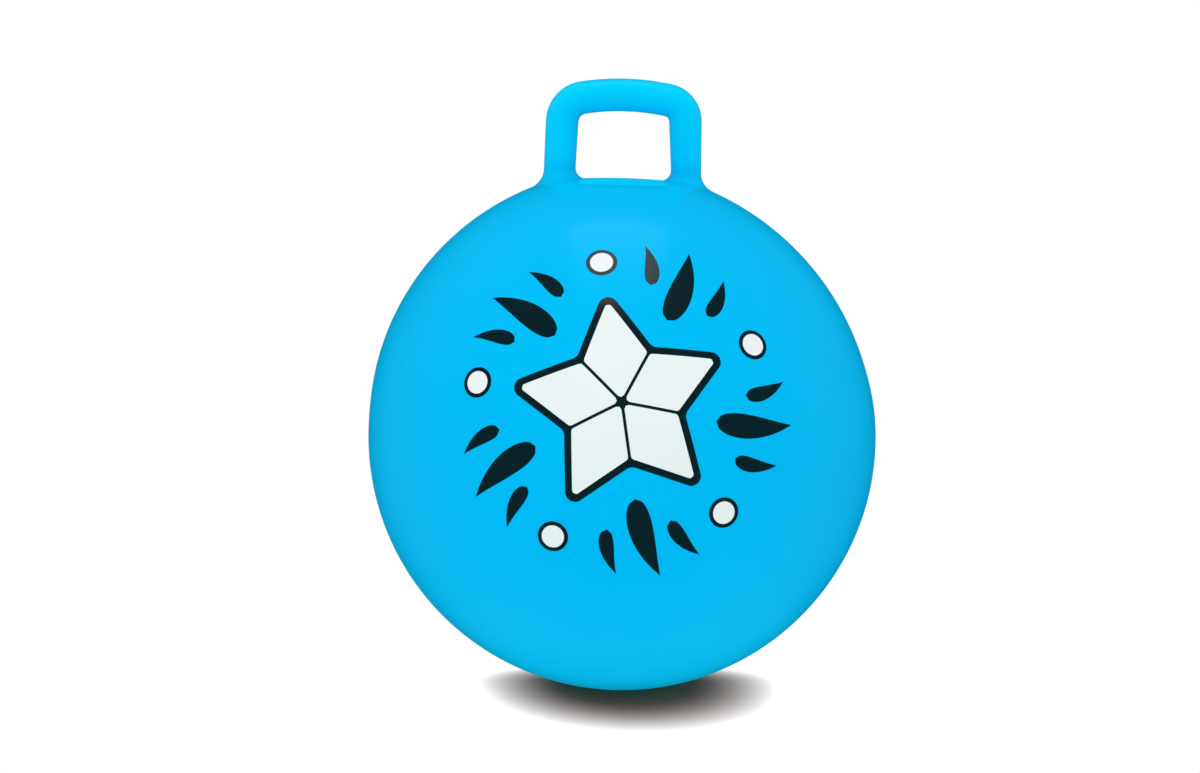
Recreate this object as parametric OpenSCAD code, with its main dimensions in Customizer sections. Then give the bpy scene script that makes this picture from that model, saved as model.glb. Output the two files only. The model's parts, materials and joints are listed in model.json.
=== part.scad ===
// Hopper ball: an inflated ball with a moulded loop handle and a push-in valve plug.
// Millimetres, +Z up, origin on the floor under the middle of the ball.
// The loop lies in the XZ plane, the front faces -Y and the valve is at the back.

/* [Ball] */
// Diameter of the inflated ball
ball_d = 450; // [380:5:600]
// Thickness of the skin
skin_t = 1; // [0.8:0.1:3]
// Radius of the flat patch that the ball rests on
patch_r = 28; // [22:1:40]
// Extra radius of the shoulder curve over the ball's own
shoulder_swell = 13.5; // [6:0.5:30]
// Angle from the top at which the shoulder leaves the sphere
shoulder_from = 88; // [70:1:89]
// Angle from the top at which the shoulder turns into the crown
crown_from = 20; // [18:1:24]
// Radius of the rounded edge of the crown
crown_edge_r = 40; // [25:1:70]
// Radius of the shallow dome on the crown
crown_dome_r = 600; // [400:10:1500]

/* [Handle] */
// Diameter of the handle's tube
tube_d = 28; // [22:0.5:34]
// Wall of the handle's tube
tube_wall = 2.5; // [1.5:0.1:4]
// Spacing of the leg centres where they meet the crown
leg_spacing = 112; // [95:0.5:115]
// Lean of each leg towards the other
leg_lean = 2; // [0:0.1:5]
// Height of the finger gap under the middle of the bar
gap_h = 59.5; // [50:0.5:90]
// Radius of the inside corner between leg and bar
corner_r = 6; // [3:0.5:12]
// Radius of the bar's arch
bar_arch_r = 210; // [160:5:600]
// Radius of the flare where each leg meets the crown
root_flare = 10.5; // [5:0.5:14]
// Height of the outer edge of that flare
flare_lip = 0.6; // [0.4:0.1:1.2]

/* [Valve] */
// Angle of the valve above the equator
valve_el = 12; // [0:1:14]
// Bore of the valve seat
valve_bore_d = 10; // [8:0.5:14]
// Wall of the seat round its bore and its recess
seat_wall = 2; // [1.2:0.1:3]
// Thickness of the recess floor
seat_floor = 2.5; // [1.5:0.1:4]
// Length of the seat's tube under the recess floor
stem_l = 13; // [8:0.5:16]
// Width of the flange bonded to the inside of the skin
flange_w = 6; // [4:0.5:10]
// Thickness of that flange at its rim
flange_t = 1.6; // [1:0.1:3]

/* [Plug] */
// Diameter of the plug's cap
cap_d = 20; // [17:0.5:26]
// Thickness of the cap in the middle
cap_t = 2.4; // [1.8:0.1:4]
// Rise of the cap's dome
cap_dome = 0.9; // [0.4:0.1:1.4]
// Depth of the cap's middle below the skin
cap_set = 0.5; // [0.2:0.1:1.5]
// Gap between the cap and the wall of its recess
cap_gap = 0.5; // [0.3:0.1:1]
// Radial clearance of the plug in the bore
plug_fit = 0.06; // [0.02:0.01:0.1]
// Length of the plug's shank under the cap
shank_l = 21; // [17:0.5:28]
// Length of the tapered nose
nose_l = 5; // [3:0.5:7]
// Taper of the nose on the radius
nose_taper = 1.4; // [0.6:0.1:2]
// Number of sealing ribs on the shank
rib_n = 3; // [2:1:4]
// Depth of the grooves between the ribs
rib_h = 0.6; // [0.3:0.1:1]
// Diameter of the hollow in the shank
core_d = 4; // [2:0.5:5]
// Thickness left above that hollow
core_roof = 3; // [2:0.5:5]
// Radius of the thumbnail notch in the cap's rim
notch_r = 4; // [3:0.5:6]
// Depth of that notch
notch_depth = 1.4; // [0.8:0.1:2]

/* [Hidden] */

skin_blue = [0.0, 0.73, 0.96];
seat_blue = [0.0, 0.62, 0.85];
plug_white = [0.93, 0.94, 0.94];

// Smoothness of the round shapes
ball_fn = 180;
valve_fn = 96;
arc_step = 3;
tube_sides = 32;
bar_steps = 6;
corner_steps = 8;
flare_steps = 6;
dome_steps = 6;

// Ball: heights are measured from its centre
ball_r = ball_d / 2;
centre_z = sqrt(pow(ball_r, 2) - pow(patch_r, 2));
shoulder_r = ball_r + shoulder_swell;
shoulder_c = -shoulder_swell * from_top(shoulder_from);
shoulder_end = shoulder_c + shoulder_r * from_top(crown_from);
edge_c = shoulder_end - crown_edge_r * from_top(crown_from);
dome_z = edge_c[1] - sqrt(pow(crown_dome_r - crown_edge_r, 2) - pow(edge_c[0], 2));
dome_half = atan2(edge_c[0], edge_c[1] - dome_z);
crown_top = dome_z + crown_dome_r;
shoulder_start_r = ball_r * sin(shoulder_from);
edge_end_r = crown_dome_r * sin(dome_half);

// Handle: points are [distance from the axis, height above the ball's centre]
tube_r = tube_d / 2;
hollow_r = tube_r - tube_wall;
bend_r = corner_r + tube_r;
leg_up = [-sin(leg_lean), cos(leg_lean)];
leg_out = [cos(leg_lean), sin(leg_lean)];
leg_foot = [leg_spacing / 2, surface_z(leg_spacing / 2)];
bar_c = [0, crown_top + gap_h + tube_r - bar_arch_r];
bend_line = leg_foot - bend_r * leg_out - bar_c;
bend_rise = sqrt(pow(leg_up * bend_line, 2) - bend_line * bend_line + pow(bar_arch_r - bend_r, 2));
leg_l = bend_rise - leg_up * bend_line;
bend_c = leg_foot + leg_l * leg_up - bend_r * leg_out;
bar_end = atan2(bend_c[1] - bar_c[1], bend_c[0]);
flare_rise = 1.5 * root_flare + flare_lip;
flare_top = surface_z(leg_foot[0] - tube_r) - leg_foot[1] + flare_rise;
// Depth to which the uncut roots reach into the crown
root_depth = 3;

// Valve: heights run outwards along its axis from the ball's centre
valve_bore_r = valve_bore_d / 2;
cap_r = cap_d / 2;
recess_r = cap_r + cap_gap;
seat_r = recess_r + seat_wall;
stem_r = valve_bore_r + seat_wall;
flange_r = seat_r + flange_w;
cap_seat_z = ball_r - cap_set - cap_t;
floor_z = cap_seat_z - seat_floor;
stem_z = floor_z - stem_l;
flange_z = sqrt(pow(ball_r - skin_t, 2) - pow(flange_r, 2)) - flange_t;
plug_r = valve_bore_r - plug_fit;
cap_dome_r = (pow(cap_r, 2) + pow(cap_dome, 2)) / (2 * cap_dome);
// Each rib's pitch is cut into five: the groove's two slopes, its floor and the rib's land
rib_pitch = (shank_l - nose_l) / (rib_n + 0.5);
groove_step = rib_pitch / 5;
// How far a cut runs past the surface that it opens
overcut = 1;

// A unit step away from the vertical by an angle, as [outwards, up]
function from_top(angle) = [sin(angle), cos(angle)];

// Points on an arc between two angles from the vertical
function arc(c, r, a, b, steps) =
    [for (i = [0:steps]) c + r * from_top(a + (b - a) * i / steps)];

// Steps that keep an arc of so many degrees smooth
function steps_for(degrees) = max(2, ceil(abs(degrees) / arc_step));

// Outline of half the ball, inset from its outer surface
function ball_outline(inset) =
    let (
        low_z = inset - centre_z,
        low_angle = acos(low_z / (ball_r - inset))
    )
    concat(
        [[0, low_z]],
        arc([0, 0], ball_r - inset, low_angle, 90, steps_for(low_angle - 90)),
        tail(arc([0, 0], ball_r - inset, 90, shoulder_from, steps_for(90 - shoulder_from))),
        tail(arc(shoulder_c, shoulder_r - inset, shoulder_from, crown_from,
                 steps_for(shoulder_from - crown_from))),
        tail(arc(edge_c, crown_edge_r - inset, crown_from, dome_half, steps_for(crown_from - dome_half))),
        tail(arc([0, dome_z], crown_dome_r - inset, dome_half, 0, steps_for(dome_half)))
    );

function tail(list) = [for (i = [1:len(list) - 1]) list[i]];
function backwards(list) = [for (i = [len(list) - 1:-1:0]) list[i]];

// Height of a circle's upper side at a distance from the axis
function over_circle(c, r, d) = c[1] + sqrt(pow(r, 2) - pow(d - c[0], 2));

// Height of the ball's outer surface at a distance from the axis
function surface_z(d) =
    d < edge_end_r ? over_circle([0, dome_z], crown_dome_r, d) :
    d < shoulder_end[0] ? over_circle(edge_c, crown_edge_r, d) :
    d < shoulder_start_r ? over_circle(shoulder_c, shoulder_r, d) :
    over_circle([0, 0], ball_r, d);

// A round section of the tube at a point of its centre line, square to the path
function tube_ring(p, n, r) =
    [for (j = [0:tube_sides - 1])
        let (a = 360 * j / tube_sides)
        [p[0] + r * cos(a) * n[0], r * sin(a), p[1] + r * cos(a) * n[1]]];

// A section of the flared root, which follows the crown at a height above it
function root_ring(r, height) =
    [for (j = [0:tube_sides - 1])
        let (
            a = 360 * j / tube_sides,
            x = leg_foot[0] - height * tan(leg_lean) + r * cos(a),
            y = r * sin(a)
        )
        [x, y, surface_z(norm([x, y])) + height]];

// Sections of the bar and the corner, from the middle of the bar to the top of a leg
function arch_rings(r) = concat(
    [for (i = [1:bar_steps])
        let (a = 90 + (bar_end - 90) * i / bar_steps, n = [cos(a), sin(a)])
        tube_ring(bar_c + bar_arch_r * n, n, r)],
    [for (i = [1:corner_steps])
        let (a = bar_end + (leg_lean - bar_end) * i / corner_steps, n = [cos(a), sin(a)])
        tube_ring(bend_c + bend_r * n, n, r)]
);

// Sections of the outer wall, from the middle of the bar down one leg to its root
function outer_half() = concat(
    arch_rings(tube_r),
    [tube_ring(leg_foot + flare_top * leg_up, leg_out, tube_r)],
    [for (i = [0:flare_steps])
        let (a = 90 * i / flare_steps)
        root_ring(tube_r + root_flare * (1 - cos(a)), flare_lip + root_flare * (1 - sin(a)))],
    [root_ring(tube_r + root_flare, -root_depth)]
);

// Sections of the hollow, along the same way
function inner_half() = concat(arch_rings(hollow_r), [root_ring(hollow_r, -root_depth)]);

function mirrored(rings) = [for (ring = rings) [for (p = ring) [-p[0], p[1], p[2]]]];

// Sections of a whole wall, from the left root over the bar to the right root
function wall_rings(half, r) =
    let (middle = tube_ring(bar_c + [0, bar_arch_r], [0, 1], r))
    concat(backwards(mirrored(half)), [middle], half);

// The tube's two walls make one closed surface: out along one and back inside the other
module loop_tube() {
    rings = concat(
        wall_rings(outer_half(), tube_r),
        backwards(wall_rings(inner_half(), hollow_r))
    );
    count = len(rings);
    function corner(i, j) = (i % count) * tube_sides + j % tube_sides;
    polyhedron(
        points = [for (ring = rings) each ring],
        faces = [for (i = [0:count - 1], j = [0:tube_sides - 1]) each [
            [corner(i, j), corner(i + 1, j + 1), corner(i + 1, j)],
            [corner(i, j), corner(i, j + 1), corner(i + 1, j + 1)]
        ]]
    );
}

// Places children at the ball's centre
module at_centre() {
    translate([0, 0, centre_z]) children();
}

// Places children on the valve's axis, which leaves the ball's centre towards the back
module on_valve() {
    at_centre() rotate([valve_el - 90, 0, 0]) children();
}

// A round bar on the local axis between two heights
module rod(r, low, high) {
    translate([0, 0, low]) cylinder(r = r, h = high - low, $fn = valve_fn);
}

// The ball as a solid, inset from its outer surface
module ball_solid(inset) {
    at_centre() rotate_extrude($fn = ball_fn) polygon(ball_outline(inset));
}

// Skin: hollow, with the valve's hole and a port into each leg of the handle
module ball_shell() {
    color(skin_blue) difference() {
        ball_solid(0);
        ball_solid(skin_t);
        on_valve() rod(seat_r, floor_z, ball_r + overcut);
        for (side = [-1, 1])
            at_centre()
                translate([side * leg_foot[0], 0, leg_foot[1]])
                    rotate([0, -side * leg_lean, 0])
                        rod(hollow_r, -tube_r - skin_t, tube_r);
    }
}

// Handle: a hollow loop whose flared roots stand on the crown
module handle_loop() {
    color(skin_blue) difference() {
        at_centre() loop_tube();
        ball_solid(0);
    }
}

// Valve seat: a recess flush with the skin, a flange inside it and a tube for the plug
module valve_seat() {
    color(seat_blue) difference() {
        union() {
            intersection() {
                ball_solid(skin_t);
                on_valve() rod(flange_r, flange_z, ball_r);
            }
            intersection() {
                ball_solid(0);
                on_valve() rod(seat_r, floor_z, ball_r + overcut);
            }
            on_valve() rod(stem_r, stem_z, cap_seat_z);
        }
        on_valve() rod(valve_bore_r, stem_z - overcut, ball_r);
        on_valve() rod(recess_r, cap_seat_z, ball_r + overcut);
    }
}

// Outline of half the plug, measured from the underside of its cap
function plug_outline() = concat(
    [[core_d / 2, -shank_l], [plug_r - nose_taper, -shank_l], [plug_r, nose_l - shank_l]],
    [for (i = [0:rib_n - 1])
        let (z = nose_l - shank_l + (i + 0.5) * rib_pitch)
        each [
            [plug_r, z],
            [plug_r - rib_h, z + groove_step],
            [plug_r - rib_h, z + 2 * groove_step],
            [plug_r, z + 3 * groove_step]
        ]],
    [[plug_r, 0], [cap_r, 0]],
    [for (i = [0:dome_steps])
        let (d = cap_r * (1 - i / dome_steps))
        [d, cap_t - cap_dome_r + sqrt(pow(cap_dome_r, 2) - pow(d, 2))]],
    [[0, -core_roof], [core_d / 2, -core_roof]]
);

// Plug: a domed cap with a thumbnail notch, on a ribbed, cored shank
module valve_plug() {
    color(plug_white) on_valve() translate([0, 0, cap_seat_z]) difference() {
        rotate_extrude($fn = valve_fn) polygon(plug_outline());
        translate([0, cap_r - notch_depth + notch_r, 0]) rod(notch_r, -overcut, cap_t + overcut);
    }
}

ball_shell();
handle_loop();
valve_seat();
valve_plug();
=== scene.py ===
"""Looks of the hopper ball: one glossy moulded skin, the print on its front, its mould seam and its valve.

Metres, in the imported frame: +Z up, the front faces -Y and the handle lies in the XZ plane.
"""
import json
import math

import bpy
import numpy as np
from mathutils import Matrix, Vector
from mathutils.geometry import delaunay_2d_cdt


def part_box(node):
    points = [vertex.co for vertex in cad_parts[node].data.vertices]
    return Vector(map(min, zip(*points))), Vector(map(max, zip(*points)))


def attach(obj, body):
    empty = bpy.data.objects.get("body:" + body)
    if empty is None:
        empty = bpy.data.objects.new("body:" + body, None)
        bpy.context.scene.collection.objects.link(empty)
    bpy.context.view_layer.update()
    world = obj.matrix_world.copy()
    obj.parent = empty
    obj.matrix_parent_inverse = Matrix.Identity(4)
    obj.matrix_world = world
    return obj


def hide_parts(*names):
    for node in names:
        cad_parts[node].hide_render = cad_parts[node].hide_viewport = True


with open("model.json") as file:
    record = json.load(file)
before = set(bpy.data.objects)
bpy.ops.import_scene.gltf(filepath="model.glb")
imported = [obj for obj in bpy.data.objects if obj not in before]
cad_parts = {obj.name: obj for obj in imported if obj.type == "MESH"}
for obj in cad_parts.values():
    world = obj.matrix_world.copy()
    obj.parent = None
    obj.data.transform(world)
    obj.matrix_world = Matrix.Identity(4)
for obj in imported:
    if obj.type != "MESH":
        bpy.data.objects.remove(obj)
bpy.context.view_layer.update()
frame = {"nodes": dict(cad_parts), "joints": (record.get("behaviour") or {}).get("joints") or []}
ball_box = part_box("ball_shell")
loop_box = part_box("handle_loop")

# Ball: angles are in degrees from the top
PATCH_R = 0.028
PATCH_EDGE_R = 0.004
SHOULDER_SWELL = 0.0135
SHOULDER_FROM = 88
CROWN_FROM = 20
CROWN_EDGE_R = 0.040
CROWN_DOME_R = 0.600
SKIN_T = 0.001

# Handle
TUBE_R = 0.014
TUBE_WALL = 0.0025
LEG_SPACING = 0.112
LEG_LEAN = 2
GAP_H = 0.0595
LEFT_CORNER_R = 0.0079
RIGHT_CORNER_R = 0.0046
BAR_ARCH_R = 0.210
ROOT_FLARE = 0.0104
ROOT_DEPTH = 0.030
# Each leg is a little thinner at its root than at the bend
LEFT_PINCH = 0.0005
RIGHT_PINCH = 0.0013
# The moulding came out a little askew: its left side is higher, and the loop sits and leans to the right
SKEW = 0.0254
SKEW_FULL = 72
SKEW_ENDS = 90
LOOP_SHIFT = 0.0005
LOOP_LEAN = 0.0186

# Valve hole in the skin, a hair wider than the seat that fills it
VALVE_HOLE_R = 0.01256
VALVE_HOLE_DEPTH = 0.012
VALVE_SIDES = 128

# Rounding of the valve's edges, where its faces meet at more than so many degrees
SEAT_EDGE_R = 0.0003
PLUG_EDGE_R = 0.0002
EDGE_STEPS = 3
EDGE_ANGLE = 20
WELD_GAP = 1e-6

# Sizes of the meshes' faces
SKIN_CELL = 0.004
HOLLOW_CELL = 0.008
FILM_CELL = 0.006
FILM_GAP = 1e-7
OUTLINE_STEP = 0.003
SMOOTH_ROUNDS = 6
SETTLE_ROUNDS = 4
# Faces above this height from the crown's middle are split finer
FINE_FROM = -0.004
GRADIENT_STEP = 2e-5
# Cosine above which a face counts as lying along the skin
FLUSH = 0.8

# Mould seam
SEAM_W = 0.0016
SEAM_H = 0.00035
SEAM_STEP = 0.003
SEAM_SIDES = 8

# Print: its middle is so many degrees above the ball's front
PRINT_EL = 15
PRINT_TILT = 8
STAR_POINTS = 5
STAR_R = 0.088
STAR_NOTCH_R = 0.046
STAR_TIP_R = 0.008
STAR_BORDER = 0.006
STAR_LINE = 0.0026
PETAL_CORNER_R = 0.003
# Each kind of ray: its start and end from the middle, and half its width
LONG_RAY = (0.080, 0.152, 0.0105)
SHORT_RAY = (0.106, 0.146, 0.0065)
SHORT_RAY_TURN = 15
RAY_CURL = 5
RAY_STEPS = 8
RAY_FULLNESS = 2.6
DOT_AT = 0.127
DOT_R = 0.0100
DOT_BORDER = 0.0035
BLACK_LIFT = 0.00012
WHITE_LIFT = 0.00025
FILM_ROOT = -0.00010

# Picture that the camera repeats
IMAGE_W = 1200
IMAGE_H = 773
BALL_PIXEL = (621.95, 435.95)
CAMERA_EL = 8
CAMERA_AWAY = 2.5236
LENS = 85
SENSOR = 36

# Studio
FLOOR_SIZE = 40
FLOOR_DROP = 0.0003
FLOOR_COLOUR = (0.92, 0.92, 0.92)
# Painted shadow on the floor, which the camera sees as a dark reddish grey matt that the ball's real shadow
# also falls on: its colour, place and reach, the share of it that is fully dark, and its fade
PAINTED_SHADOW_COLOUR = (0.26, 0.098, 0.064)
SHADOW_SHIFT = 0.004
SHADOW_LEAN = 0.08
SHADOW_HALF_W = 0.131
SHADOW_FRONT = 0.182
SHADOW_BACK = 0.078
SHADOW_CORE = 0.40
SHADOW_POWER = 2.4
SKY_STRENGTH = 0.94
WALL_R = 6.0
WALL_GLOW = 0.25
WALL_COLOUR = (0.0, 0.72, 1.0)
WALL_STEP = 15
SOFTBOX_RADIANCE = 0.92
SOFTBOX_COLOUR = (0.85, 0.95, 1.0)
SOFTBOX_SIZE = (1.02, 1.55)
SOFTBOX_AT = (0, -0.27, 2.1)
FILL_RADIANCE = 0.8
FILL_SIZE = (2.0, 1.6)
FILL_AT = (-1.3, -2.95, 0.85)
TABLE_RADIANCE = 0.45
TABLE_COLOUR = (1.0, 1.0, 0.55)
TABLE_SIZE = (0.40, 0.40)
TABLE_AT = (0, -0.04, -0.00015)
CARD_RADIANCE = 0.74
CARD_COLOUR = (0.0, 0.72, 1.0)
CARD_SIZE = (0.6, 1.2)
CARD_AT = (0, 3.0, 0.75)

# Finishes: how much finer the gloss varies than the colour, and the sockets of a mix of colours
GLOSS_FINER = 4
GLOSS_DETAIL = 4.0
MIX_FIRST = 6
MIX_SECOND = 7
MIX_RESULT = 2
# Heights from the crown between which the handle's painted light takes over: a paler blue that stands in
# for the light its thin tube lets through
HANDLE_PAINTED_LIGHT_FADE = (-0.012, 0.028)


def from_top(degrees):
    """A unit step away from the vertical, as (outwards, up)."""
    angle = math.radians(degrees)
    return np.array((math.sin(angle), math.cos(angle)))


# Outline of the ball as tangent arcs, each with its middle, radius and lower end
ball_r = (ball_box[1].x - ball_box[0].x) / 2
centre = np.array((0, 0, math.sqrt(ball_r ** 2 - PATCH_R ** 2)))
shoulder_r = ball_r + SHOULDER_SWELL
shoulder_c = -SHOULDER_SWELL * from_top(SHOULDER_FROM)
edge_c = shoulder_c + (shoulder_r - CROWN_EDGE_R) * from_top(CROWN_FROM)
dome_z = edge_c[1] - math.sqrt((CROWN_DOME_R - CROWN_EDGE_R) ** 2 - edge_c[0] ** 2)
dome_from = math.degrees(math.atan2(edge_c[0], edge_c[1] - dome_z))
crown_top = dome_z + CROWN_DOME_R
crown_z = centre[2] + crown_top
CROWN_ARCS = [
    (shoulder_c, shoulder_r, SHOULDER_FROM),
    (edge_c, CROWN_EDGE_R, CROWN_FROM),
    (np.array((0, dome_z)), CROWN_DOME_R, dome_from),
]

# Centre line of one half of the handle, as (distance from the axis, height above the ball's centre)
leg_out = np.array((math.cos(math.radians(LEG_LEAN)), math.sin(math.radians(LEG_LEAN))))
leg_up = np.array((-leg_out[1], leg_out[0]))
leg_foot = np.array((LEG_SPACING / 2, dome_z + math.sqrt(CROWN_DOME_R ** 2 - (LEG_SPACING / 2) ** 2)))
bar_c = np.array((0, crown_top + GAP_H + TUBE_R - BAR_ARCH_R))


def ball_distance(r, z):
    """Distance outside the ball's outline, which ends at the axis above and below."""
    away = np.hypot(r, z) - ball_r
    for middle, radius, lower_end in CROWN_ARCS:
        out, up = from_top(lower_end)
        above = (r - middle[0]) * up < (z - middle[1]) * out
        away = np.where(above, np.hypot(r - middle[0], z - middle[1]) - radius, away)
    return away


def half_loop_distance(r, y, z, corner_r, pinch):
    """Distance outside one half of the handle's tube: a leg, a bend and half of the bar."""
    bend_r = corner_r + TUBE_R
    line = leg_foot - bend_r * leg_out - bar_c
    rise = math.sqrt((leg_up @ line) ** 2 - line @ line + (BAR_ARCH_R - bend_r) ** 2) - leg_up @ line
    bend_c = leg_foot + rise * leg_up - bend_r * leg_out
    along = (r - leg_foot[0]) * leg_up[0] + (z - leg_foot[1]) * leg_up[1]
    aside = (r - leg_foot[0]) * leg_out[0] + (z - leg_foot[1]) * leg_out[1]
    under = np.maximum(-ROOT_DEPTH - along, 0)
    aside = np.where(along > rise, np.hypot(r - bend_c[0], z - bend_c[1]) - bend_r, aside)
    over_bar = r * (bend_c[1] - bar_c[1]) < (z - bar_c[1]) * bend_c[0]
    aside = np.where(over_bar, np.hypot(r, z - bar_c[1]) - BAR_ARCH_R, aside)
    radius = TUBE_R - pinch * np.clip(1 - along / rise, 0, 1)
    return np.sqrt(aside ** 2 + y ** 2 + under ** 2) - radius


def loop_distance(x, y, z):
    """Distance outside the handle's tube."""
    left = half_loop_distance(-x, y, z, LEFT_CORNER_R, LEFT_PINCH)
    right = half_loop_distance(x, y, z, RIGHT_CORNER_R, RIGHT_PINCH)
    return np.where(x < 0, left, right)


def round_union(a, b, radius):
    """Union of two distances, with a fillet between them."""
    corner = np.hypot(np.maximum(radius - a, 0), np.maximum(radius - b, 0))
    return np.maximum(radius, np.minimum(a, b)) - corner


def round_overlap(a, b, radius):
    """Intersection of two distances, with its edge rounded."""
    corner = np.hypot(np.maximum(radius + a, 0), np.maximum(radius + b, 0))
    return np.minimum(-radius, np.maximum(a, b)) + corner


def skin_distance(points):
    """Distance outside the moulding's outer surface."""
    return moulding_distance(points, 0, 0)


def hollow_distance(points):
    """Distance outside the hollow that the skin and the tube's wall leave."""
    return moulding_distance(points, SKIN_T, TUBE_WALL)


def moulding_distance(points, skin_t, tube_wall):
    """Distance outside the moulding, set in by one thickness on the ball and one on the handle."""
    x, y, z = (points - centre).T
    from_axis = np.hypot(x, y)
    polar = np.degrees(np.arctan2(from_axis, z))
    fade = np.clip((SKEW_ENDS - polar) / (SKEW_ENDS - SKEW_FULL), 0, 1)
    loop_x = x - LOOP_SHIFT - LOOP_LEAN * (z - crown_top)
    z = z + SKEW * x * fade ** 2 * (3 - 2 * fade)
    floor = skin_t - centre[2] - z
    ball = round_overlap(ball_distance(from_axis, z) + skin_t, floor, PATCH_EDGE_R)
    return round_union(ball, loop_distance(loop_x, y, z) + tube_wall, ROOT_FLARE)


def slope(distance, points):
    """Unit direction in which a distance grows fastest."""
    steps = GRADIENT_STEP * np.eye(3)
    rise = np.stack([distance(points + step) - distance(points - step) for step in steps], axis=1)
    return rise / np.linalg.norm(rise, axis=1, keepdims=True)


def settle(distance, points):
    """Moves points onto the surface where the distance is nought."""
    for _ in range(SETTLE_ROUNDS):
        points = points - distance(points)[:, None] * slope(distance, points)
    return points


def surface_net(distance, low, high, cell):
    """Vertices and outward quads of the surface where the distance is nought, on a grid of cells."""
    axes = [np.arange(a - 2 * cell, b + 3 * cell, cell) for a, b in zip(low, high)]
    grid = np.stack(np.meshgrid(*axes, indexing="ij"), axis=-1)
    inside = distance(grid.reshape(-1, 3)).reshape(grid.shape[:3]) < 0
    corners = sum(
        inside[i:inside.shape[0] - 1 + i, j:inside.shape[1] - 1 + j, k:inside.shape[2] - 1 + k].astype(int)
        for i in (0, 1) for j in (0, 1) for k in (0, 1)
    )
    crossed = (corners > 0) & (corners < 8)
    number = np.full(crossed.shape, -1)
    number[crossed] = np.arange(crossed.sum())
    points = grid[:-1, :-1, :-1][crossed] + cell / 2
    quads = []
    for axis in range(3):
        ends = np.moveaxis(inside, axis, 0)
        edges = np.argwhere(ends[1:] != ends[:-1])
        order = np.argsort([axis] + [a for a in range(3) if a != axis])
        edges = edges[:, order]
        a, b = np.eye(3, dtype=int)[(axis + 1) % 3], np.eye(3, dtype=int)[(axis + 2) % 3]
        quad = np.stack([number[tuple((edges - back).T)] for back in (0 * a, a, a + b, b)], axis=1)
        inward = ~inside[tuple(edges.T)]
        quad[inward] = quad[inward][:, ::-1]
        quads.append(quad)
    quads = np.concatenate(quads)
    links = np.concatenate([quads[:, [i, (i + 1) % 4]] for i in range(4)])
    count = np.bincount(links[:, 0], minlength=len(points))[:, None]
    for _ in range(SMOOTH_ROUNDS):
        near = points[links[:, 1]]
        total = [np.bincount(links[:, 0], near[:, i], len(points)) for i in range(3)]
        points = settle(distance, np.stack(total, axis=1) / count)
    return points, quads


def split_finer(distance, points, quads, chosen):
    """Points and faces with the chosen quads split in four, the new points settled on the surface."""
    added, halves = [], {}

    def add(place):
        added.append(place)
        return len(points) + len(added) - 1

    faces = []
    for quad in quads[chosen]:
        hub = add(points[quad].mean(0))
        for side in zip(quad, np.roll(quad, -1)):
            if frozenset(side) not in halves:
                halves[frozenset(side)] = add(points[list(side)].mean(0))
        half = [halves[frozenset(side)] for side in zip(quad, np.roll(quad, -1))]
        faces += [(quad[i], half[i], hub, half[i - 1]) for i in range(4)]
    for quad in quads[~chosen]:
        face = []
        for side in zip(quad, np.roll(quad, -1)):
            face.append(side[0])
            if frozenset(side) in halves:
                face.append(halves[frozenset(side)])
        faces.append(face)
    return np.concatenate([points, settle(distance, np.array(added))]), faces


def mesh_object(name, points, faces):
    """A linked object with a mesh of its own."""
    mesh = bpy.data.meshes.new(name)
    mesh.from_pydata(np.asarray(points).tolist(), [], [list(map(int, face)) for face in faces])
    made = bpy.data.objects.new(name, mesh)
    bpy.context.scene.collection.objects.link(made)
    return made


def shade(made, material, normals=None):
    """Gives an object its material and smooth shading, or a normal for each corner."""
    made.data.materials.clear()
    made.data.materials.append(material)
    made.data.polygons.foreach_set("use_smooth", [True] * len(made.data.polygons))
    if normals is not None:
        made.data.normals_split_custom_set(normals.tolist())


def face_normals(mesh):
    """The normal of the face at each corner of the mesh, and each corner's place."""
    places = np.zeros(len(mesh.vertices) * 3)
    mesh.vertices.foreach_get("co", places)
    corner = np.zeros(len(mesh.loops), int)
    mesh.loops.foreach_get("vertex_index", corner)
    flat = np.zeros(len(mesh.polygons) * 3)
    mesh.polygons.foreach_get("normal", flat)
    size = np.zeros(len(mesh.polygons), int)
    mesh.polygons.foreach_get("loop_total", size)
    return np.repeat(flat.reshape(-1, 3), size, axis=0), places.reshape(-1, 3)[corner]


def cut(made, tool):
    """Takes one object's volume out of another and deletes the tool."""
    saw = made.modifiers.new("cut", "BOOLEAN")
    saw.operation = "DIFFERENCE"
    saw.solver = "EXACT"
    saw.object = tool
    bpy.context.view_layer.update()
    result = bpy.data.meshes.new_from_object(made.evaluated_get(bpy.context.evaluated_depsgraph_get()))
    made.modifiers.clear()
    made.data = result
    bpy.data.objects.remove(tool)


def valve_drill():
    """A round bar through the skin where the valve sits."""
    axis = np.array(frame["joints"][0]["axis"])
    aside = np.array((1.0, 0.0, 0.0))
    across = np.cross(axis, aside)
    turn = np.arange(VALVE_SIDES) * 2 * math.pi / VALVE_SIDES
    ring = VALVE_HOLE_R * (np.cos(turn)[:, None] * aside + np.sin(turn)[:, None] * across)
    ends = [centre + ring + axis * (ball_r + step * VALVE_HOLE_DEPTH) for step in (-1, 1)]
    sides = [(i, (i + 1) % VALVE_SIDES) for i in range(VALVE_SIDES)]
    faces = [(i, j, j + VALVE_SIDES, i + VALVE_SIDES) for i, j in sides]
    faces += [range(VALVE_SIDES)[::-1], range(VALVE_SIDES, 2 * VALVE_SIDES)]
    return mesh_object("valve_drill", np.concatenate(ends), faces)


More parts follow.
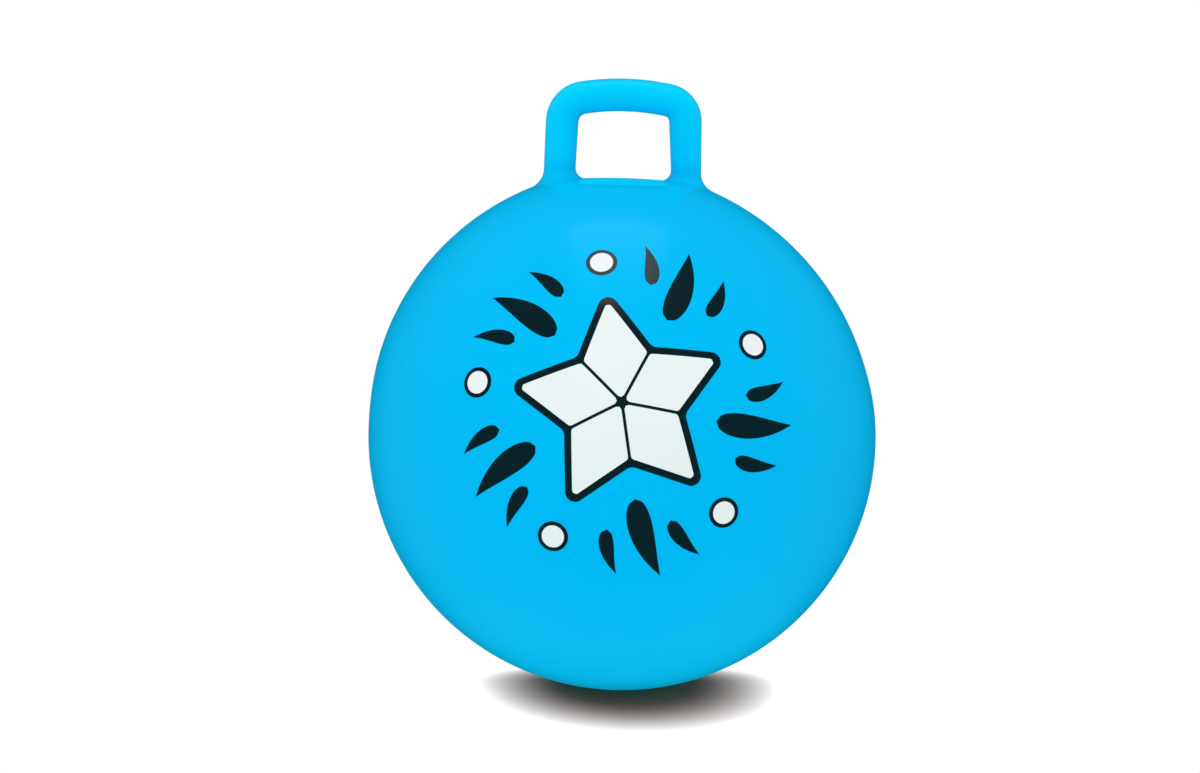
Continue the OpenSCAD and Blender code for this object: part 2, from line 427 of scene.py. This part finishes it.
def ball_skin(material):
    """The moulded skin of ball and handle, hollow and with the valve's hole."""
    low, high = np.minimum(ball_box[0], loop_box[0]), np.maximum(ball_box[1], loop_box[1])
    outer, outer_quads = surface_net(skin_distance, low, high, SKIN_CELL)
    inner, inner_quads = surface_net(hollow_distance, low, high, HOLLOW_CELL)
    fine = outer[outer_quads].mean(1)[:, 2] > crown_z + FINE_FROM
    outer, faces = split_finer(skin_distance, outer, outer_quads, fine)
    faces += (inner_quads[:, ::-1] + len(outer)).tolist()
    made = mesh_object("ball_skin", np.concatenate([outer, inner]), faces)
    cut(made, valve_drill())
    flat, places = face_normals(made.data)
    normals = flat.copy()
    for distance, sign in ((skin_distance, 1), (hollow_distance, -1)):
        smooth = sign * slope(distance, places)
        along = (np.sum(flat * smooth, axis=1) > FLUSH) & (np.abs(distance(places)) < SKIN_T / 4)
        normals[along] = smooth[along]
    shade(made, material, normals)
    return made


def valve_piece(name, material, edge_r):
    """Gives a CAD node of the valve its material and rounds its edges."""
    node = frame["nodes"][name]
    shade(node, material)
    weld = node.modifiers.new("weld", "WELD")
    weld.merge_threshold = WELD_GAP
    edges = node.modifiers.new("edges", "BEVEL")
    edges.width = edge_r
    edges.segments = EDGE_STEPS
    edges.limit_method = "ANGLE"
    edges.angle_limit = math.radians(EDGE_ANGLE)
    edges.harden_normals = True


def seam_line(start):
    """Points round the skin in the handle's plane, traced from a start until it comes round again."""
    point = settle(skin_distance, np.array([start]))[0]
    line = [point]
    while len(line) < 4 or np.linalg.norm(line[-1] - line[0]) > SEAM_STEP:
        out = slope(skin_distance, line[-1][None])[0]
        ahead = np.array((out[2], 0, -out[0]))
        line.append(settle(skin_distance, (line[-1] + SEAM_STEP * ahead)[None])[0])
    return np.array(line)


def mould_seam(material):
    """The fine bead that the two halves of the mould leave round the ball and the handle."""
    bar_top = crown_z + GAP_H + 2 * TUBE_R
    points, faces = [], []
    for height in (bar_top, bar_top - 2 * TUBE_R):
        line = seam_line((0, 0, height))
        out = slope(skin_distance, line)
        base = len(points)
        for place, up in zip(line, out):
            for side in range(SEAM_SIDES):
                turn = 2 * math.pi * side / SEAM_SIDES
                width = SEAM_W / 2 * math.cos(turn) * np.array((0, 1, 0))
                bead = place + SEAM_H * math.sin(turn) * up + width
                points.append((bead[0], bead[1], max(bead[2], 0)))
        for ring in range(len(line)):
            for side in range(SEAM_SIDES):
                near = base + ring * SEAM_SIDES
                far = base + (ring + 1) % len(line) * SEAM_SIDES
                beside = (side + 1) % SEAM_SIDES
                faces.append((near + side, near + beside, far + beside, far + side))
    made = mesh_object("mould_seam", points, faces)
    shade(made, material)
    return made


def rounded(outline, radius):
    """A closed outline with each corner rounded, as points no further apart than the outline step."""
    outline = np.asarray(outline)
    points = []
    for before, corner, after in zip(np.roll(outline, 1, 0), outline, np.roll(outline, -1, 0)):
        back = (before - corner) / np.linalg.norm(before - corner)
        on = (after - corner) / np.linalg.norm(after - corner)
        half = math.acos(np.clip(back @ on, -1, 1)) / 2
        middle = corner + (back + on) / np.linalg.norm(back + on) * radius / math.sin(half)
        first = corner + back * radius / math.tan(half) - middle
        last = corner + on * radius / math.tan(half) - middle
        steps = max(2, math.ceil((math.pi - 2 * half) * radius / OUTLINE_STEP))
        for i in range(steps + 1):
            spoke = first + (last - first) * i / steps
            points.append(middle + spoke / np.linalg.norm(spoke) * radius)
    return filled(points)


def filled(points):
    """A closed outline with points added along its longer edges."""
    dense = []
    for here, there in zip(points, np.roll(points, -1, 0)):
        steps = max(1, math.ceil(np.linalg.norm(there - here) / OUTLINE_STEP))
        dense += [here + (there - here) * i / steps for i in range(steps)]
    return np.array(dense)


def inset(outline, depths):
    """A counter-clockwise outline with each edge moved inwards by its own depth."""
    outline = np.asarray(outline)
    edge = np.roll(outline, -1, 0) - outline
    inwards = np.stack([-edge[:, 1], edge[:, 0]], axis=1) / np.linalg.norm(edge, axis=1, keepdims=True)
    level = np.sum(inwards * outline, axis=1) + depths
    return np.array([
        np.linalg.solve(np.stack([inwards[i - 1], inwards[i]]), np.array((level[i - 1], level[i])))
        for i in range(len(outline))
    ])


def polar(r, degrees):
    """A point of the print at a distance and a direction from its middle."""
    return r * np.array((math.cos(math.radians(degrees)), math.sin(math.radians(degrees))))


def star():
    """The bare outline of the star, from a tip."""
    turn = 180 / STAR_POINTS
    return [polar((STAR_R, STAR_NOTCH_R)[i % 2], 90 + turn * i) for i in range(2 * STAR_POINTS)]


def petal(i):
    """One white petal of the star, apart from its neighbours by a thin line."""
    turn = 180 / STAR_POINTS
    way = 90 + 2 * turn * i
    kite = [(0, 0), polar(STAR_NOTCH_R, way - turn), polar(STAR_R, way), polar(STAR_NOTCH_R, way + turn)]
    return rounded(inset(kite, np.array((STAR_LINE / 2, 0, 0, STAR_LINE / 2))), PETAL_CORNER_R)


def ray(size, way):
    """A curled black ray, round at its root and pointed at its end."""
    root, tip, half_w = size
    side = []
    steps = max(RAY_STEPS, math.ceil((tip - root) / OUTLINE_STEP))
    for i in range(steps + 1):
        share = i / steps
        width = half_w * math.sqrt(share) * (1 - share) * RAY_FULLNESS
        r = root + (tip - root) * share
        side.append((polar(r, way + RAY_CURL * share ** 2), width))
    turned = [polar(1, way + 90 + RAY_CURL * (i / steps) ** 2) for i in range(steps + 1)]
    right = [place - out * width for (place, width), out in zip(side, turned)]
    left = [place + out * width for (place, width), out in zip(side, turned)]
    return np.array(right + left[-2:0:-1])


def disc(r, way, radius):
    """A round dot of the print."""
    steps = math.ceil(2 * math.pi * radius / OUTLINE_STEP)
    return np.array([polar(r, way) + polar(radius, 360 * i / steps) for i in range(steps)])


def print_outlines():
    """Outlines of the print's black and white films."""
    border = np.full(2 * STAR_POINTS, -STAR_BORDER)
    black = [rounded(inset(star(), border), STAR_TIP_R)]
    white = [petal(i) for i in range(STAR_POINTS)]
    for i in range(STAR_POINTS):
        tip = 90 + 360 * i / STAR_POINTS
        notch = tip + 180 / STAR_POINTS
        black.append(ray(LONG_RAY, notch))
        black += [ray(SHORT_RAY, notch + side * SHORT_RAY_TURN) for side in (-1, 1)]
        black.append(disc(DOT_AT, tip, DOT_R + DOT_BORDER))
        white.append(disc(DOT_AT, tip, DOT_R))
    return black, white


def within(points, outline):
    """Which points lie inside an outline and clear of its edge."""
    ahead = np.roll(outline, -1, 0)
    edge = ahead - outline
    x, y = points[:, :1], points[:, 1:]
    spans = (outline[:, 1] > y) != (ahead[:, 1] > y)
    with np.errstate(divide="ignore", invalid="ignore"):
        meets = outline[:, 0] + (y - outline[:, 1]) * edge[:, 0] / edge[:, 1]
    odd = np.sum(spans & (x < meets), axis=1) % 2 == 1
    near = np.min(np.hypot(x - outline[:, 0], y - outline[:, 1]), axis=1)
    return odd & (near > FILM_CELL / 2)


def on_front(flat):
    """Points of the flat print, laid on the skin at the front of the ball."""
    tilt, rise = math.radians(PRINT_TILT), math.radians(PRINT_EL)
    facing = np.array((0, -math.cos(rise), math.sin(rise)))
    upright = np.array((0, math.sin(rise), math.cos(rise)))
    aside = np.array((1.0, 0, 0))
    across = math.cos(tilt) * aside + math.sin(tilt) * upright
    along = math.cos(tilt) * upright - math.sin(tilt) * aside
    reach = np.linalg.norm(flat, axis=1, keepdims=True)
    way = (flat[:, :1] * across + flat[:, 1:] * along) / np.maximum(reach, FILM_GAP)
    bend = reach / ball_r
    return settle(skin_distance, centre + ball_r * (np.cos(bend) * facing + np.sin(bend) * way))


def film(name, outlines, lift, material):
    """A closed film of ink with these outlines, standing proud of the skin by its lift."""
    points, faces, normals = [], [], []
    for outline in outlines:
        low, high = outline.min(0), outline.max(0)
        lattice = [np.arange(a, b, FILM_CELL) for a, b in zip(low, high)]
        spots = np.stack(np.meshgrid(*lattice), axis=-1).reshape(-1, 2)
        flat = np.concatenate([outline, spots[within(spots, outline)]])
        loop = list(range(len(outline)))
        made = delaunay_2d_cdt([Vector(p) for p in flat], [], [loop], 1, FILM_GAP)
        flat = np.array([tuple(p) for p in made[0]])
        triangles = [tuple(t) for t in made[2]]
        sides = {(t[i], t[(i + 1) % 3]) for t in triangles for i in range(3)}
        rim = [(a, b) for a, b in sides if (b, a) not in sides]
        place = on_front(flat)
        out = slope(skin_distance, place)
        top = sum(len(p) for p in points)
        under = top + len(flat)
        points += [place + lift * out, place + FILM_ROOT * out]
        for a, b, c in triangles:
            faces += [(top + a, top + b, top + c), (under + c, under + b, under + a)]
            normals += [out[a], out[b], out[c], -out[c], -out[b], -out[a]]
        for a, b in sorted(rim):
            faces.append((top + b, top + a, under + a, under + b))
            edge = np.cross(place[b] - place[a], out[a])
            normals += [edge / np.linalg.norm(edge)] * 4
    made = mesh_object(name, np.concatenate(points), faces)
    shade(made, material, np.array(normals))
    return made


class Nodes:
    """Short way to add nodes to a tree and link them."""

    def __init__(self, tree):
        self.tree = tree
        tree.nodes.clear()

    def add(self, kind, inputs=None, **settings):
        """A new node with its settings, its inputs' values, and links where an input is a socket."""
        made = self.tree.nodes.new(kind)
        for key, value in settings.items():
            setattr(made, key, value)
        for key, value in (inputs or {}).items():
            if isinstance(value, bpy.types.NodeSocket):
                self.tree.links.new(value, made.inputs[key])
            else:
                made.inputs[key].default_value = value
        return made


def noise(nodes, place, size, detail=2.0):
    """A soft noise whose blotches are about this size."""
    blotches = nodes.add("ShaderNodeTexNoise", {"Vector": place, "Scale": 1 / size, "Detail": detail})
    return blotches.outputs["Fac"]


def mixed_colour(nodes, share, first, second):
    """A mix of two colours, by the share of the second."""
    mix = nodes.add(
        "ShaderNodeMix", {"Factor": share, MIX_FIRST: first, MIX_SECOND: second}, data_type="RGBA")
    return mix.outputs[MIX_RESULT]


def finish(
        name, colours, patch, gloss, grain, grain_depth, ripple, ripple_depth, specular,
        tint=(1, 1, 1), top=None):
    """A moulded or printed plastic: patches of two close colours, uneven gloss, a grain and a slow ripple.

    Top is a third colour, and the two heights between which it takes over; the skin uses it as painted
    light on the handle.
    """
    made = bpy.data.materials.new(name)
    made.use_nodes = True
    nodes = Nodes(made.node_tree)
    place = nodes.add("ShaderNodeTexCoord").outputs["Object"]
    colour = mixed_colour(nodes, noise(nodes, place, patch), (*colours[0], 1), (*colours[1], 1))
    if top:
        height = nodes.add("ShaderNodeSeparateXYZ", {"Vector": place}).outputs["Z"]
        share = nodes.add("ShaderNodeMapRange", {
            "Value": height, "From Min": top[1], "From Max": top[2]}, interpolation_type="SMOOTHSTEP")
        colour = mixed_colour(nodes, share.outputs["Result"], colour, (*top[0], 1))
    rough = nodes.add("ShaderNodeMapRange", {
        "Value": noise(nodes, place, patch / GLOSS_FINER, GLOSS_DETAIL),
        "To Min": gloss[0], "To Max": gloss[1]})
    slow = nodes.add("ShaderNodeBump", {
        "Height": noise(nodes, place, ripple), "Strength": 1.0, "Distance": ripple_depth})
    fine = nodes.add("ShaderNodeBump", {
        "Height": noise(nodes, place, grain), "Strength": 1.0, "Distance": grain_depth,
        "Normal": slow.outputs["Normal"]})
    shader = nodes.add("ShaderNodeBsdfPrincipled", {
        "Base Color": colour, "Roughness": rough.outputs["Result"],
        "Normal": fine.outputs["Normal"], "Specular IOR Level": specular, "Specular Tint": (*tint, 1)})
    nodes.add("ShaderNodeOutputMaterial", {"Surface": shader.outputs[0]})
    return made


def add_camera():
    """The camera, with the ball's middle where the picture has it."""
    camera = bpy.data.objects.new("camera", bpy.data.cameras.new("camera"))
    bpy.context.scene.collection.objects.link(camera)
    camera.data.lens = LENS
    camera.data.sensor_width = SENSOR
    rise = math.radians(CAMERA_EL)
    back = Vector((0, -math.cos(rise), math.sin(rise)))
    upright = Vector((0, math.sin(rise), math.cos(rise)))
    per_pixel = CAMERA_AWAY * SENSOR / LENS / IMAGE_W
    aim = Vector(centre) + Vector((1, 0, 0)) * (IMAGE_W / 2 - BALL_PIXEL[0]) * per_pixel
    aim += upright * (BALL_PIXEL[1] - IMAGE_H / 2) * per_pixel
    camera.location = Vector(centre) + back * CAMERA_AWAY
    camera.rotation_mode = "QUATERNION"
    camera.rotation_quaternion = (aim - camera.location).to_track_quat("-Z", "Y")
    bpy.context.scene.camera = camera


def add_lamp(name, radiance, size, place, toward, gloss, colour=(1, 1, 1)):
    """A rectangular soft lamp of a given radiance that shines toward a point, shown in the gloss or not."""
    lamp = bpy.data.lights.new(name, "AREA")
    lamp.shape = "RECTANGLE"
    lamp.size, lamp.size_y = size
    lamp.energy = radiance * math.pi * size[0] * size[1]
    lamp.color = colour
    made = bpy.data.objects.new(name, lamp)
    made.location = place
    made.rotation_mode = "QUATERNION"
    made.rotation_quaternion = (Vector(toward) - Vector(place)).to_track_quat("-Z", "Y")
    made.visible_camera = False
    made.visible_glossy = gloss
    bpy.context.scene.collection.objects.link(made)
    return made


def seen_directly(nodes):
    """One for rays from the camera, in gloss and through glass, and nought for the rest."""
    path = nodes.add("ShaderNodeLightPath").outputs
    seen = path["Is Camera Ray"]
    for kind in ("Is Glossy Ray", "Is Transmission Ray"):
        seen = nodes.add("ShaderNodeMath", {0: seen, 1: path[kind]}, operation="MAXIMUM").outputs[0]
    return seen


def add_sky():
    """An even white sky, a little dimmer as a light than as the background."""
    world = bpy.data.worlds.new("sky")
    world.use_nodes = True
    nodes = Nodes(world.node_tree)
    level = nodes.add("ShaderNodeMapRange", {
        "Value": seen_directly(nodes), "To Min": SKY_STRENGTH, "To Max": 1.0})
    sky = nodes.add("ShaderNodeBackground", {"Color": (1, 1, 1, 1), "Strength": level.outputs["Result"]})
    nodes.add("ShaderNodeOutputWorld", {"Surface": sky.outputs[0]})
    bpy.context.scene.world = world


def floor_finish():
    """White, and a painted shadow under the ball: a dark reddish grey matt, which the ball's real shadow
    also falls on.
    """
    made = bpy.data.materials.new("floor")
    made.use_nodes = True
    nodes = Nodes(made.node_tree)
    floor_place = nodes.add("ShaderNodeTexCoord").outputs["Object"]
    place = nodes.add("ShaderNodeVectorMath", {
        0: floor_place, 1: (SHADOW_SHIFT, 0, 0)}, operation="SUBTRACT").outputs[0]

    def reach(along_x, along_y):
        return nodes.add("ShaderNodeVectorMath", {
            0: place, 1: (along_x, along_y, 0)}, operation="DOT_PRODUCT").outputs["Value"]

    aside = reach(1 / SHADOW_HALF_W, SHADOW_LEAN / SHADOW_HALF_W)
    ahead = nodes.add("ShaderNodeMath", {
        0: reach(0, -1 / SHADOW_FRONT), 1: reach(0, 1 / SHADOW_BACK)}, operation="MAXIMUM")
    shares = nodes.add("ShaderNodeCombineXYZ", {"X": aside, "Y": ahead.outputs[0]})
    away = nodes.add("ShaderNodeVectorMath", {0: shares.outputs[0]}, operation="LENGTH").outputs["Value"]
    edge = nodes.add("ShaderNodeMapRange", {"Value": away, "From Min": SHADOW_CORE, "From Max": 1.0})
    clear = nodes.add("ShaderNodeMath", {0: edge.outputs["Result"], 1: SHADOW_POWER}, operation="POWER")
    # Painted shadow: a dark reddish grey matt under the ball, lit by the lamps so that the real shadow
    # falls on it too
    painted_shadow_matt = nodes.add("ShaderNodeBsdfDiffuse", {"Color": (*PAINTED_SHADOW_COLOUR, 1)})
    glow = nodes.add("ShaderNodeEmission", {"Color": (1, 1, 1, 1), "Strength": 1.0})
    shown = nodes.add("ShaderNodeMixShader", {
        0: clear.outputs[0], 1: painted_shadow_matt.outputs[0], 2: glow.outputs[0]})
    matt = nodes.add("ShaderNodeBsdfDiffuse", {"Color": (*FLOOR_COLOUR, 1)})
    mixed = nodes.add("ShaderNodeMixShader", {
        0: seen_directly(nodes), 1: matt.outputs[0], 2: shown.outputs[0]})
    nodes.add("ShaderNodeOutputMaterial", {"Surface": mixed.outputs[0]})
    return made


def add_floor():
    """The floor that the ball rests on."""
    half = FLOOR_SIZE / 2
    corners = [(x, y, -FLOOR_DROP) for x, y in ((-half, -half), (half, -half), (half, half), (-half, half))]
    floor = mesh_object("floor", corners, [(0, 1, 2, 3)])
    shade(floor, floor_finish())
    # The gloss shows the dim walls instead
    floor.visible_glossy = False


def add_walls():
    """Dim walls all round, which only the gloss shows."""
    rows = range(-90, 91, WALL_STEP)
    columns = range(-180, 180, WALL_STEP)
    points = []
    for up in rows:
        for turn in columns:
            out = from_top(90 - up)
            way = from_top(turn)
            points.append(centre + WALL_R * np.array((way[0] * out[0], way[1] * out[0], out[1])))
    faces = []
    for i in range(len(rows) - 1):
        for j in range(len(columns)):
            beside = (j + 1) % len(columns)
            near, far = i * len(columns), (i + 1) * len(columns)
            faces.append((near + j, near + beside, far + beside, far + j))
    walls = mesh_object("studio_walls", points, faces)
    dim = bpy.data.materials.new("studio_walls")
    dim.use_nodes = True
    nodes = Nodes(dim.node_tree)
    glow = nodes.add("ShaderNodeEmission", {"Color": (*WALL_COLOUR, 1), "Strength": WALL_GLOW})
    nodes.add("ShaderNodeOutputMaterial", {"Surface": glow.outputs[0]})
    shade(walls, dim)
    for kind in ("camera", "diffuse", "transmission", "volume_scatter", "shadow"):
        setattr(walls, "visible_" + kind, False)


def add_studio():
    """Sky, floor, walls and lamps."""
    bpy.context.scene.view_settings.view_transform = "Standard"
    add_sky()
    add_floor()
    add_walls()
    straight_down = (SOFTBOX_AT[0], SOFTBOX_AT[1], 0)
    add_lamp("softbox", SOFTBOX_RADIANCE, SOFTBOX_SIZE, SOFTBOX_AT, straight_down, True, SOFTBOX_COLOUR)
    add_lamp("front_fill", FILL_RADIANCE, FILL_SIZE, FILL_AT, tuple(centre), False)
    straight_up = (TABLE_AT[0], TABLE_AT[1], 1)
    add_lamp("table_glow", TABLE_RADIANCE, TABLE_SIZE, TABLE_AT, straight_up, False, TABLE_COLOUR)
    card = add_lamp("rear_card", CARD_RADIANCE, CARD_SIZE, CARD_AT, tuple(centre), True, CARD_COLOUR)
    card.visible_diffuse = False


# The skin's top colour is painted light: the handle is a paler blue to stand in for the light that its thin
# tube lets through.
skin_finish = finish(
    "blue_pvc", ((0.0, 0.475, 0.880), (0.0, 0.510, 0.925)), patch=0.16, gloss=(0.14, 0.22),
    grain=0.0012, grain_depth=0.000008, ripple=0.06, ripple_depth=0.00025, specular=0.25,
    tint=(0.05, 0.75, 1.0),
    top=((0.0, 0.605, 0.955), crown_z + HANDLE_PAINTED_LIGHT_FADE[0], crown_z + HANDLE_PAINTED_LIGHT_FADE[1]))
black_finish = finish(
    "black_ink", ((0.0015, 0.0045, 0.006), (0.003, 0.007, 0.009)), patch=0.03, gloss=(0.14, 0.22),
    grain=0.0010, grain_depth=0.000006, ripple=0.06, ripple_depth=0.00025, specular=0.9,
    tint=(1.0, 0.85, 0.8))
white_finish = finish(
    "white_ink", ((0.80, 0.870, 0.870), (0.84, 0.900, 0.900)), patch=0.04, gloss=(0.20, 0.30),
    grain=0.0010, grain_depth=0.000006, ripple=0.06, ripple_depth=0.00025, specular=0.35)

seat_finish = finish(
    "seat_pvc", ((0.0, 0.330, 0.640), (0.0, 0.360, 0.680)), patch=0.02, gloss=(0.28, 0.38),
    grain=0.0008, grain_depth=0.000006, ripple=0.02, ripple_depth=0.00004, specular=0.35)
plug_finish = finish(
    "plug_plastic", ((0.76, 0.78, 0.78), (0.81, 0.82, 0.82)), patch=0.015, gloss=(0.30, 0.42),
    grain=0.0007, grain_depth=0.000005, ripple=0.015, ripple_depth=0.00003, specular=0.40)

add_camera()
add_studio()

skin = ball_skin(skin_finish)
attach(skin, "ball")
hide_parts("ball_shell", "handle_loop")

valve_piece("valve_seat", seat_finish, SEAT_EDGE_R)
valve_piece("valve_plug", plug_finish, PLUG_EDGE_R)

seam = mould_seam(skin_finish)
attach(seam, "ball")

black_outlines, white_outlines = print_outlines()
black_film = film("print_black", black_outlines, BLACK_LIFT, black_finish)
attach(black_film, "ball")
white_film = film("print_white", white_outlines, WHITE_LIFT, white_finish)
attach(white_film, "ball")
